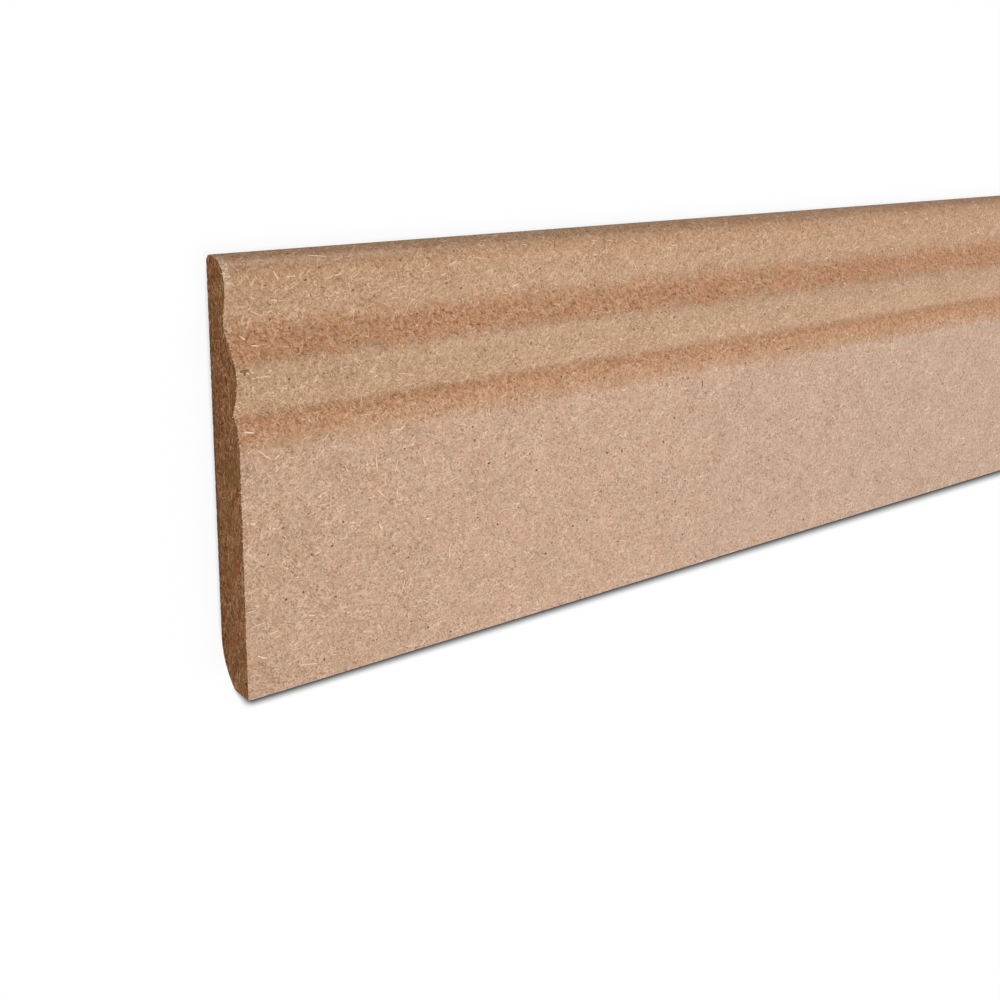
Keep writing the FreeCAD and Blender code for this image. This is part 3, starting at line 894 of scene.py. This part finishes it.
graph.add("ShaderNodeOutputMaterial", {"Surface": end_surface.outputs[0]})


def join_board(obj):
    """Make a piece part of the board, so that it rides with it."""
    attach(obj, "root")


board = mesh_object(board_bm, "board", skin_material, end_material)
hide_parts("skirting_board")
join_board(board)
print(f"board of {len(board.data.polygons)} faces")

# %% [markdown]
# ## Loose fibres
#
# A few pale fibres lie on top of the mat, thick enough to catch the light one by one. They
# are real, so they are modelled: each is a curve that wanders over the skin, thin at its
# tips, and all of a kind become one mesh at the end. A fibre's path is found by
# walking: a short step along the length and round the girth, a little turn, and again.
# The longest ones are laid where they are seen on the real board, the rest at random.

# %% Walk a fibre over the skin
FIBRE_STEPS = 5
FIBRE_SINK = 0.8


def on_skin(x, around, lift):
    """A point above the skin at a distance along the board and a girth."""
    point, outwards = girth.at(around)
    return Vector((x, point.y, point.z)) + outwards * lift


def walk_fibre(x, around, heading, length, bend, thickness):
    """Points and thicknesses of a fibre that starts at a place and turns as it goes."""
    step = length / FIBRE_STEPS
    path = []
    for number in range(FIBRE_STEPS + 1):
        part = number / FIBRE_STEPS
        swell = math.sin(math.pi * (0.12 + 0.76 * part)) ** 0.5
        radius = thickness / 2 * swell
        path.append((on_skin(x, around, radius * (1 - FIBRE_SINK)), radius))
        heading += bend / FIBRE_STEPS
        x += step * math.cos(heading)
        around += step * math.sin(heading)
    return path


def fibres_object(name, paths, material):
    """One mesh of many fibres, each a closed four-sided tube along its path."""
    curve = bpy.data.curves.new(name + "_paths", "CURVE")
    curve.dimensions = "3D"
    curve.bevel_depth = 1.0
    curve.bevel_resolution = 0
    curve.use_fill_caps = True
    for path in paths:
        spline = curve.splines.new("POLY")
        spline.points.add(len(path) - 1)
        for point, (place, radius) in zip(spline.points, path):
            point.co = (*place, 1.0)
            point.radius = radius
    source = bpy.data.objects.new(name + "_paths", curve)
    mesh = bpy.data.meshes.new_from_object(source)
    bpy.data.objects.remove(source)
    mesh.name = name
    mesh.materials.clear()
    mesh.materials.append(material)
    for face in mesh.polygons:
        face.use_smooth = True
        face.material_index = 0
    obj = bpy.data.objects.new(name, mesh)
    bpy.context.scene.collection.objects.link(obj)
    join_board(obj)
    print(f"{name}: {len(paths)} fibres, {len(mesh.polygons)} faces")
    return obj


# %% Paint the loose fibres
fibre_material, graph = matt_material("pale_fibre")
solid = graph.scale(graph.add("ShaderNodeTexCoord").outputs["Object"], 1 / MM)
fleck = graph.add(
    "ShaderNodeTexNoise", {"Vector": solid, "Scale": 1.4, "Detail": 2.0}).outputs["Fac"]
fibre_colour = graph.blend(graph.ease(fleck, 0.35, 0.65), FIBRE_SHADE, PALE_FIBRE)
fibre_surface = graph.add("ShaderNodeBsdfPrincipled", {
    "Base Color": fibre_colour, "Roughness": 0.7, "Specular IOR Level": 0.3})
graph.add("ShaderNodeOutputMaterial", {"Surface": fibre_surface.outputs[0]})

dark_fibre_material, graph = matt_material("dark_fibre")
solid = graph.scale(graph.add("ShaderNodeTexCoord").outputs["Object"], 1 / MM)
fleck = graph.add(
    "ShaderNodeTexNoise", {"Vector": solid, "Scale": 1.4, "Detail": 2.0}).outputs["Fac"]
fibre_colour = graph.blend(graph.ease(fleck, 0.35, 0.65), srgb(128, 90, 62), srgb(166, 124, 90))
fibre_surface = graph.add("ShaderNodeBsdfPrincipled", {
    "Base Color": fibre_colour, "Roughness": 0.8, "Specular IOR Level": 0.2})
graph.add("ShaderNodeOutputMaterial", {"Surface": fibre_surface.outputs[0]})

# %% Scatter the pale fibres
PALE_FIBRES_PER_MM2 = 0.0055
FRONT_GIRTH = girth.of(Vector((0, TOP, BACK + 3 * MM)))
LENGTH_RANGE = (1.6 * MM, 6.5 * MM)
THICKNESS_RANGE = (0.10 * MM, 0.26 * MM)
END_MARGIN = 1 * MM


def scatter(seed, start, end, per_mm2, lengths, thicknesses):
    """Random fibres between two girths, all along the board. Short ones are the commonest."""
    chance = random.Random(seed)
    count = int(per_mm2 * (RIGHT - LEFT) * (end - start) / MM**2)
    paths = []
    for _ in range(count):
        length = lengths[0] + (lengths[1] - lengths[0]) * chance.random() ** 2
        x = chance.uniform(LEFT + END_MARGIN, RIGHT - END_MARGIN - length)
        heading = chance.uniform(-math.pi / 2, math.pi / 2)
        bend = chance.gauss(0, 0.9)
        thickness = chance.uniform(*thicknesses)
        paths.append(walk_fibre(x, chance.uniform(start, end), heading, length, bend, thickness))
    return paths


front_paths = scatter(11, 0, FRONT_GIRTH, PALE_FIBRES_PER_MM2, LENGTH_RANGE, THICKNESS_RANGE)
back_paths = scatter(12, FRONT_GIRTH, girth.total, PALE_FIBRES_PER_MM2, LENGTH_RANGE, THICKNESS_RANGE)
fibres_object("pale_fibres_back", back_paths, fibre_material)

# %% Lay the longest fibres one by one
# Where each starts and ends, in millimetres from the left end and up from the bottom edge,
# how far it bends, in turns, and how thick it is.
LONG_FIBRES = (
    ((4.9, 70.6), (8.9, 67.5), 0.0, 0.28), ((11.9, 68.7), (9.9, 67.4), 0.02, 0.36),
    ((1.6, 75.8), (4.4, 75.2), 0.02, 0.40), ((3.2, 12.9), (6.2, 11.5), 0.06, 0.48),
    ((14.0, 114.9), (15.2, 112.8), 0.03, 0.36), ((3.7, 99.5), (5.0, 98.4), 0.02, 0.36),
    ((6.1, 96.9), (8.3, 96.7), -0.04, 0.32), ((57.0, 97.4), (57.5, 96.7), 0.0, 0.40),
    ((20.6, 76.3), (21.1, 75.7), 0.0, 0.44), ((65.7, 50.6), (71.3, 52.4), 0.04, 0.28),
    ((68.0, 31.8), (67.6, 26.5), 0.12, 0.32), ((57.3, 59.9), (58.2, 57.4), 0.04, 0.46),
    ((138.2, 26.5), (142.4, 31.0), 0.04, 0.34), ((80.5, 70.6), (81.2, 68.4), 0.03, 0.32),
    ((118.2, 60.3), (121.5, 61.7), 0.02, 0.32), ((232.1, 55.9), (234.8, 50.2), 0.05, 0.36),
    ((232.0, 49.4), (237.8, 49.8), 0.06, 0.36), ((220.1, 45.9), (225.5, 47.4), 0.08, 0.36),
    ((211.0, 44.0), (212.5, 44.8), 0.02, 0.48), ((228.1, 62.3), (230.7, 67.2), 0.04, 0.34),
    ((257.7, 7.6), (264.5, 12.1), 0.03, 0.32), ((41.5, 63.7), (41.9, 58.4), 0.06, 0.34),
    ((24.3, 69.9), (26.5, 71.8), 0.0, 0.28), ((42.4, 43.0), (43.5, 40.8), 0.02, 0.44),
    ((41.6, 53.2), (43.4, 51.3), -0.04, 0.36), ((52.6, 24.4), (57.0, 28.2), 0.03, 0.26),
    ((50.2, 19.8), (51.3, 23.9), 0.04, 0.34), ((54.1, 16.9), (55.7, 18.0), 0.02, 0.32),
    ((19.2, 20.8), (21.1, 20.3), 0.0, 0.46), ((22.8, 52.1), (26.8, 52.3), 0.05, 0.28),
    ((48.5, 51.9), (48.9, 49.5), 0.03, 0.26), ((47.6, 56.8), (48.6, 60.8), 0.04, 0.28),
    ((58.0, 42.3), (61.8, 42.1), 0.04, 0.26), ((16.2, 6.4), (21.7, 5.3), -0.03, 0.34),
    ((0.4, 26.2), (2.9, 26.4), 0.02, 0.28), ((1.8, 21.7), (5.8, 22.2), 0.02, 0.26),
)
DARK_FIBRES = (
    ((172.3, 64.6), (172.3, 67.0), 0.05, 0.28), ((213.6, 73.0), (217.5, 73.0), 0.02, 0.24),
    ((1.2, 91.4), (3.7, 91.4), 0.0, 0.42), ((2.5, 91.3), (2.4, 90.3), 0.0, 0.40),
)


def front_girth(height):
    """Girth of the front at a height above the bottom edge."""
    y = BOTTOM + height * MM
    front = [i for i, point in enumerate(girth.ring[:-1]) if girth.along[i] < FRONT_GIRTH]
    nearest = min(front, key=lambda i: abs(girth.ring[i].x - y))
    return girth.along[nearest] + (y - girth.ring[nearest].x)


LAID_THICKNESS = 1.45 * MM


def lay(start, end, bend, thickness):
    """A fibre from one place on the front to another, bowed sideways."""
    first = Vector((LEFT + start[0] * MM, front_girth(start[1])))
    last = Vector((LEFT + end[0] * MM, front_girth(end[1])))
    way = last - first
    turn = bend * TURN
    heading = math.atan2(way.y, way.x) - turn * 0.6
    return walk_fibre(*first, heading, way.length, turn, thickness * LAID_THICKNESS)


front_paths += [lay(*fibre) for fibre in LONG_FIBRES]
fibres_object("pale_fibres_front", front_paths, fibre_material)
fibres_object("dark_fibres", [lay(*fibre) for fibre in DARK_FIBRES], dark_fibre_material)

# %% [markdown]
# The saw frays the front arris of each end. Short fibres lie across it and stand out of
# it by a hair. They are made in the same way, but they start behind the rim and point
# mostly outwards along the board. In a few spots the skin is torn, and there they lie
# thick and in every direction.

# %% Fray the sawn arrises
FRAY_COUNT = 190
FRAY_LENGTH = (0.3 * MM, 1.1 * MM)
FRAY_THICKNESS = (0.07 * MM, 0.16 * MM)
FRAY_OUT = 0.16 * MM
FRAY_TOP_HEIGHT = 117.5
TORN_DEPTH = 1.9 * MM
TORN_LENGTH = (0.4 * MM, 1.5 * MM)
TORN_THICKNESS = (0.12 * MM, 0.26 * MM)
# The torn spots of the left end: lowest and highest height, and how many fibres lie there.
TORN_SPOTS = (
    (113.6, 117.4, 24), (116.8, 118.4, 8), (79.0, 82.5, 10), (57.4, 58.8, 7), (55.4, 56.4, 6))


def fray(seed, end_x, outwards):
    """Short fibres that lie across one end's front arris."""
    chance = random.Random(seed)
    paths = []
    for _ in range(FRAY_COUNT):
        length = chance.uniform(*FRAY_LENGTH)
        heading = chance.gauss(0, 0.9) + (0 if outwards > 0 else math.pi)
        start = end_x - outwards * (length * max(0.0, abs(math.cos(heading))) - chance.uniform(0, FRAY_OUT))
        thickness = chance.uniform(*FRAY_THICKNESS)
        around = chance.uniform(0, front_girth(FRAY_TOP_HEIGHT))
        paths.append(walk_fibre(start, around, heading, length, chance.gauss(0, 1.2), thickness))
    return paths


def tear(seed, spots):
    """Fibres that lie thick in the torn spots of the left end."""
    chance = random.Random(seed)
    paths = []
    for low, high, count in spots:
        for _ in range(count):
            length = chance.uniform(*TORN_LENGTH)
            start = LEFT + TORN_DEPTH * chance.random() ** 1.5
            around = chance.uniform(front_girth(low), front_girth(high))
            heading = chance.gauss(0.9, 0.9)
            thickness = chance.uniform(*TORN_THICKNESS)
            paths.append(walk_fibre(start, around, heading, length, chance.gauss(0, 1.5), thickness))
    return paths


frayed = fray(21, LEFT, -1) + fray(22, RIGHT, 1) + tear(23, TORN_SPOTS)
fibres_object("frayed_fibres", frayed, fibre_material)
